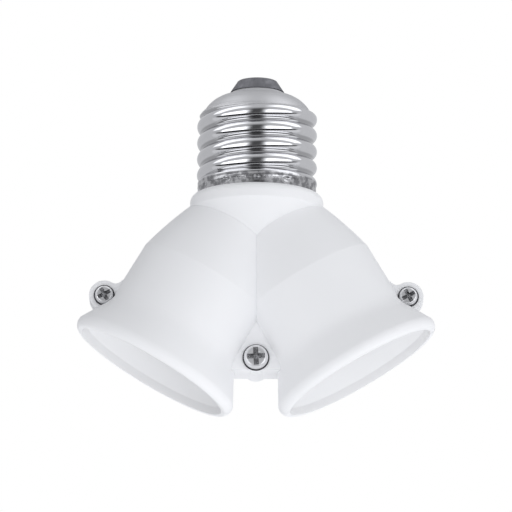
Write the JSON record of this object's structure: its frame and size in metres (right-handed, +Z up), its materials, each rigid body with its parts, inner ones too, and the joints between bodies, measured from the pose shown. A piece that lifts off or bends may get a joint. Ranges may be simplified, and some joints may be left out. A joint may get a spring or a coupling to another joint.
{
  "type": "lamp socket adapter",
  "caption": "Y-shaped lamp socket adapter: a screw base feeds two bell-shaped lamp sockets that point down and outward in a screwed moulded housing.",
  "frame": {"origin": "centre of the collar's top face, on the base's axis, where the two socket axes also cross", "axes": "+Z up along the base's axis towards the tip contact; -Y is the front with the screw heads; the sockets open down and out in the XZ plane"},
  "size_m": [0.0776, 0.0386, 0.074],
  "materials": {
    "housing": "satin white moulding",
    "nickel": "bright nickel plating",
    "insulator": "matte",
    "contact_metal": "dull, tinned",
    "sleeve": "nickel-plated sheet",
    "brass": "bright",
    "live_insulation": "satin",
    "neutral_insulation": "satin",
    "solder": "satin",
    "screw_steel": "zinc plated"
  },
  "bodies": {
    "root": {"front_housing": "housing", "rear_housing": "housing", "base_screw_shell": "nickel", "base_core": "insulator", "tip_contact": "contact_metal", "right_socket_shell": "sleeve", "left_socket_shell": "sleeve", "right_socket_floor": "insulator", "left_socket_floor": "insulator", "right_contact_leaf": "brass", "left_contact_leaf": "brass", "live_strip": "brass", "neutral_strip": "brass", "live_wire": "live_insulation", "neutral_wire": "neutral_insulation", "solder_joints": "solder", "contact_rivets": "brass", "shell_rivets": "brass", "ear_screws": "screw_steel", "centre_screw": "screw_steel"}
  },
  "joints": []
}
